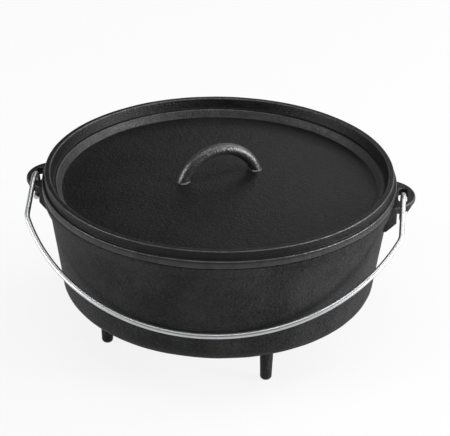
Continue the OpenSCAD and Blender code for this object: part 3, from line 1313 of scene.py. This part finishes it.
@dataclass
class Bail:
    """Bail of one bent wire, hooked round the front bars of the ears. Sizes in mm.

    Attributes:
        finish: finish of the wire.
        ear: the ear on the +X side, whose front bar lies on the hinge.
        wire: radius of the wire.
        hook_radius: radius of the hooks, to the middle of the wire.
        hook_lap: how far a hook runs on past its lowest point, in radians.
        bend_radius: radius of the bends between the arms and the crown.
        crown_ease: how much the crown's radius is larger than half the bail's width.
        swing_gap: space between the crown and the lid's flange as the bail swings over it.
        rest_gap: space between the crown and the pot's wall as the bail hangs.
        tip_share: radius of the wire's two tips, as a share of the wire's.
        crown_steps: number of points along half the crown.
        bend_steps: number of points along a bend.
        arm_steps: number of points along an arm.
        hook_steps: number of points along a hook.
        sides: number of points round the wire.
    """

    finish: PlatedWire
    ear: Ear
    wire: float = 2.5
    hook_radius: float = 12.0
    hook_lap: float = math.radians(30.0)
    bend_radius: float = 18.0
    crown_ease: float = 16.5
    swing_gap: float = 2.0
    rest_gap: float = 0.6
    tip_share: float = 0.8
    crown_steps: int = 150
    bend_steps: int = 20
    arm_steps: int = 24
    hook_steps: int = 60
    sides: int = 28

    @property
    def crown_distance(self) -> float:
        """Works out how far the crown is from the hinge, so that it swings clear over the flange.

        It is the distance from the hinge to the flange's upper edge, plus the wire's radius and the gap.

        Returns:
            The distance in mm.
        """
        oven = self.ear.oven
        flange = math.hypot(oven.rim + self.ear.bar_y, oven.ledge - self.ear.bar_z)
        return flange + self.wire + self.swing_gap

    @property
    def reach(self) -> float:
        """Returns how far the crown reaches along the arms, which lie a hook's radius off the hinge."""
        return math.sqrt(self.crown_distance ** 2 - self.hook_radius ** 2)

    @property
    def angle(self) -> float:
        """Works out how far the arms hang below the level, with the crown the rest gap off the sloping wall.

        Square to the wall, the hinge is the cosine of the draft times its level distance inside it, and
        the crown lies the wire's radius and the gap outside it. The arc cosine of the two added up,
        over the crown's distance, is the angle from the wall's normal to the crown. The draft and the
        angle between the line to the crown and the arms are added to it.

        Returns:
            The angle in radians.
        """
        oven = self.ear.oven
        to_wall = math.cos(oven.draft) * (oven.wall_at(self.ear.bar_z) + self.ear.bar_y)
        to_crown = math.acos((self.wire + self.rest_gap + to_wall) / self.crown_distance)
        return oven.draft + math.atan2(self.hook_radius, self.reach) + to_crown

    def right_half(self) -> tuple[np.ndarray, np.ndarray, np.ndarray]:
        """Lays the wire from the middle of the crown to the tip of the right hook.

        The crown is an arc, the bend a tighter arc tangent to it, the arm straight, and the hook an
        arc about the hinge that starts tangent to the arm.

        Returns:
            The path, its direction and the vector that points away from the hinge, as rows
            (x, outwards, up) in the bail's own plane.
        """
        half_width = self.ear.slot_x
        crown_radius = half_width + self.crown_ease
        middle = self.reach - crown_radius
        run = half_width - self.bend_radius
        rise = math.sqrt((crown_radius - self.bend_radius) ** 2 - run ** 2)
        start = math.atan2(rise, run)
        crown = np.linspace(QUARTER_TURN, start, self.crown_steps, endpoint=False)
        bend = np.linspace(start, 0.0, self.bend_steps, endpoint=False)
        arm = np.linspace(middle + rise, 0.0, self.arm_steps, endpoint=False)
        hook = np.linspace(0.0, HALF_TURN + self.hook_lap, self.hook_steps)
        lift = self.hook_radius
        arcs = ((crown, crown_radius, 0.0, middle), (bend, self.bend_radius, run, middle + rise))
        path = np.concatenate([
            *(rows_of(x + r * np.cos(turn), y + r * np.sin(turn), lift) for turn, r, x, y in arcs),
            rows_of(half_width, arm, lift),
            rows_of(half_width, -lift * np.sin(hook), lift * np.cos(hook)),
        ])
        turned = np.concatenate([crown, bend, 0.0 * arm])
        way = np.concatenate([
            rows_of(np.sin(turned), -np.cos(turned), 0.0),
            rows_of(0.0, -np.cos(hook), -np.sin(hook)),
        ])
        away = np.concatenate([
            rows_of(0.0 * turned, 0.0, 1.0),
            rows_of(0.0, -np.sin(hook), np.cos(hook)),
        ])
        return path, way, away

    def hung(self, vectors: np.ndarray) -> np.ndarray:
        """Returns rows (x, outwards, up) of the bail's plane as rows (x, y, z) at the hanging angle."""
        c, s = math.cos(self.angle), math.sin(self.angle)
        return vectors @ np.array([[1.0, 0.0, 0.0], [0.0, -c, -s], [0.0, -s, c]])

    def shell(self) -> Shell:
        """Makes the wire: a round section along the right half and its mirror image, with softened tips.

        Returns:
            The closed wire.
        """
        path, way, away = self.right_half()
        flip = np.array([-1.0, 1.0, 1.0])
        centre = np.concatenate([(path * flip)[:0:-1], path])
        tangent = self.hung(np.concatenate([-(way * flip)[:0:-1], way]))
        out = self.hung(np.concatenate([(away * flip)[:0:-1], away]))
        radius = np.full(len(centre), self.wire)
        radius[[0, -1]] = self.tip_share * self.wire
        hinge = np.array([0.0, self.ear.bar_y, self.ear.bar_z])
        return swept(hinge + self.hung(centre), out, np.cross(tangent, out), radius, self.sides)

    def build(self) -> list[bpy.types.Object]:
        """Makes and dresses the piece.

        Returns:
            The piece.
        """
        piece = self.shell().to_object("bail_wire", self.finish.material())
        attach(piece, Body.BAIL.value)
        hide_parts("bail_handle")
        return [piece]


@dataclass(frozen=True)
class Softbox:
    """A square area lamp that looks at the oven.

    Attributes:
        name: name of the lamp.
        azimuth: direction of the lamp in degrees, from the camera's side (-Y) towards +X.
        elevation: height of the lamp in degrees above the level.
        distance: distance of the lamp, in metres.
        size: side of the lamp, in metres.
        level: how brightly it lights a white sheet that faces it, where 1 is white.
    """

    name: str
    azimuth: float
    elevation: float
    distance: float
    size: float
    level: float

    def build(self, target: Vector) -> None:
        """Adds the lamp, turned towards a target. Its power is its level times (pi times distance) squared.

        Args:
            target: place that the lamp looks at, in metres.
        """
        turn, rise = math.radians(self.azimuth), math.radians(self.elevation)
        way = Vector((math.cos(rise) * math.sin(turn), -math.cos(rise) * math.cos(turn), math.sin(rise)))
        lamp = bpy.data.lights.new(self.name, "AREA")
        lamp.shape = "SQUARE"
        lamp.size = self.size
        lamp.energy = self.level * (math.pi * self.distance) ** 2
        place = bpy.data.objects.new(self.name, lamp)
        place.location = target + way * self.distance
        place.rotation_euler = (-way).to_track_quat("-Z", "Y").to_euler()
        bpy.context.scene.collection.objects.link(place)


@dataclass(frozen=True)
class PhotoCamera:
    """Camera at the photograph's viewing angle.

    Attributes:
        width: width of the photograph, in pixels.
        focus: focal length, in pixels.
        pixel: size of a pixel at the lid, in mm.
        tilt: angle below the level, in radians.
        roll: turn about the line of sight, in radians.
        yaw: turn about Z from the line along Y, in radians.
        lid_level: level of the point on the axis that the offsets are counted from, in mm.
        right: offset of the line of sight to the right of that point, in pixels.
        down: offset of the line of sight below that point, in pixels.
        sensor: width of the sensor, in mm.
        sight: farthest distance that is seen, in metres.
    """

    width: float = 450.0
    focus: float = 1600.0
    pixel: float = 0.945
    tilt: float = math.radians(28.09)
    roll: float = math.radians(0.85)
    yaw: float = math.radians(5.5)
    lid_level: float = 167.5
    right: float = 6.14
    down: float = 51.38
    sensor: float = 36.0
    sight: float = 50.0

    def build(self) -> None:
        """Adds the camera. It stands back from the lid by the focal length times the size of a pixel."""
        right = Vector((math.cos(self.yaw), math.sin(self.yaw), 0.0))
        away = Vector((-math.sin(self.yaw), math.cos(self.yaw), 0.0))
        high = Vector((0.0, 0.0, 1.0))
        ahead = away * math.cos(self.tilt) - high * math.sin(self.tilt)
        up = away * math.sin(self.tilt) + high * math.cos(self.tilt)
        back = right * self.right - up * self.down - ahead * self.focus
        spot = (high * self.lid_level + back * self.pixel) * MM
        x_axis = right * math.cos(self.roll) + up * math.sin(self.roll)
        y_axis = up * math.cos(self.roll) - right * math.sin(self.roll)
        lens = bpy.data.cameras.new("photo_camera")
        lens.sensor_fit = "HORIZONTAL"
        lens.sensor_width = self.sensor
        lens.lens = self.sensor * self.focus / self.width
        lens.clip_end = self.sight
        eye = bpy.data.objects.new("photo_camera", lens)
        turn = Matrix((x_axis, y_axis, -ahead)).transposed().to_4x4()
        eye.matrix_world = Matrix.Translation(spot) @ turn
        bpy.context.scene.collection.objects.link(eye)
        bpy.context.scene.camera = eye


@dataclass
class Studio:
    """White studio: floor, surroundings, softboxes and the camera.

    Attributes:
        camera: the camera.
        lamps: the softboxes.
        aim: height at which the softboxes look, in metres.
        glow: strength of the even light from all round.
        glow_colour: colour of that light.
        floor_reach: distance from the axis to the floor's sides, in metres.
        floor_shade: how pale the floor is.
        floor_spread: how much paler it is in places.
        floor_tone: pattern of those places.
        floor_glow: share of plain white in the floor as it is seen, which thins the shadow.
    """

    camera: PhotoCamera
    lamps: list[Softbox]
    aim: float = 0.1
    glow: float = 0.08
    glow_colour: Colour = (0.97, 0.985, 1.0)
    floor_reach: float = 30.0
    floor_shade: float = 0.7
    floor_spread: float = 0.01
    floor_tone: Mottle = Mottle(3.0, 2.0, 0.5)
    floor_glow: float = 0.86

    def floor(self) -> None:
        """Adds the pale floor, a flat square, lit as paper but partly plain white to rays that see it."""
        material = bpy.data.materials.new("studio_floor")
        kit = NodeKit(material)
        tone = kit.noise(kit.place(), self.floor_tone)
        shade = tone.between(grey(self.floor_shade), grey(self.floor_shade + self.floor_spread))
        paper = kit.node("ShaderNodeBsdfDiffuse", {}, {"Color": shade})
        white = kit.node("ShaderNodeEmission", {}, {"Color": (1.0, 1.0, 1.0, 1.0), "Strength": 1.0})
        parts = {0: kit.seen() * self.floor_glow, 1: paper.outputs[0], 2: white.outputs[0]}
        mix = kit.node("ShaderNodeMixShader", {}, parts)
        kit.node("ShaderNodeOutputMaterial", {}, {"Surface": mix.outputs[0]})
        mesh = bpy.data.meshes.new("studio_floor")
        corners = self.floor_reach * np.array([(-1, -1, 0), (1, -1, 0), (1, 1, 0), (-1, 1, 0)])
        mesh.from_pydata(corners.tolist(), [], [(0, 1, 2, 3)])
        mesh.materials.append(material)
        sheet = bpy.data.objects.new("studio_floor", mesh)
        bpy.context.scene.collection.objects.link(sheet)

    def world(self) -> None:
        """Makes the surroundings an even pale light."""
        world = bpy.data.worlds.new("studio_world")
        bpy.context.scene.world = world
        kit = NodeKit(world)
        sockets = {"Color": (*self.glow_colour, 1.0), "Strength": self.glow}
        pale = kit.node("ShaderNodeBackground", {}, sockets)
        kit.node("ShaderNodeOutputWorld", {}, {"Surface": pale.outputs[0]})

    def build(self) -> None:
        """Sets up the studio."""
        self.floor()
        self.world()
        self.camera.build()
        for lamp in self.lamps:
            lamp.build(Vector((0.0, 0.0, self.aim)))
        bpy.context.scene.view_settings.view_transform = "Standard"


def main() -> None:
    """Builds the oven, piece by piece, in its studio."""
    logging.basicConfig(level=logging.INFO, format="%(message)s")
    metal = grey(0.1)
    pot_iron = CastIron("pot_iron", grey(0.01), grey(0.032), metal, rough=0.6, gloss=0.07, pebble=0.7)
    lid_iron = CastIron("lid_iron", grey(0.003), grey(0.009), metal, rough=0.48, gloss=0.17, pebble=0.4)
    wire = PlatedWire("bail_wire", bright=(0.52, 0.53, 0.54), dull=(0.4, 0.41, 0.42), rough=0.4)
    lamps = [
        Softbox("right_low", azimuth=82.0, elevation=12.0, distance=2.8, size=1.2, level=1.4),
        Softbox("left_low", azimuth=-70.0, elevation=14.0, distance=2.8, size=1.2, level=0.75),
        Softbox("right_back", azimuth=118.0, elevation=40.0, distance=2.6, size=1.4, level=0.5),
        Softbox("back", azimuth=172.0, elevation=30.0, distance=2.8, size=1.4, level=0.1),
        Softbox("top", azimuth=5.0, elevation=78.0, distance=2.5, size=1.4, level=0.45),
    ]
    Studio(PhotoCamera(), lamps).build()
    oven = OvenSizes()
    ear = Ear(oven)
    for assembly in (PotCasting(pot_iron, ear), LidCasting(lid_iron, oven), Bail(wire, ear)):
        for piece in assembly.build():
            LOG.info("%s: %d faces", piece.name, len(piece.data.polygons))


if __name__ == "__main__":
    main()
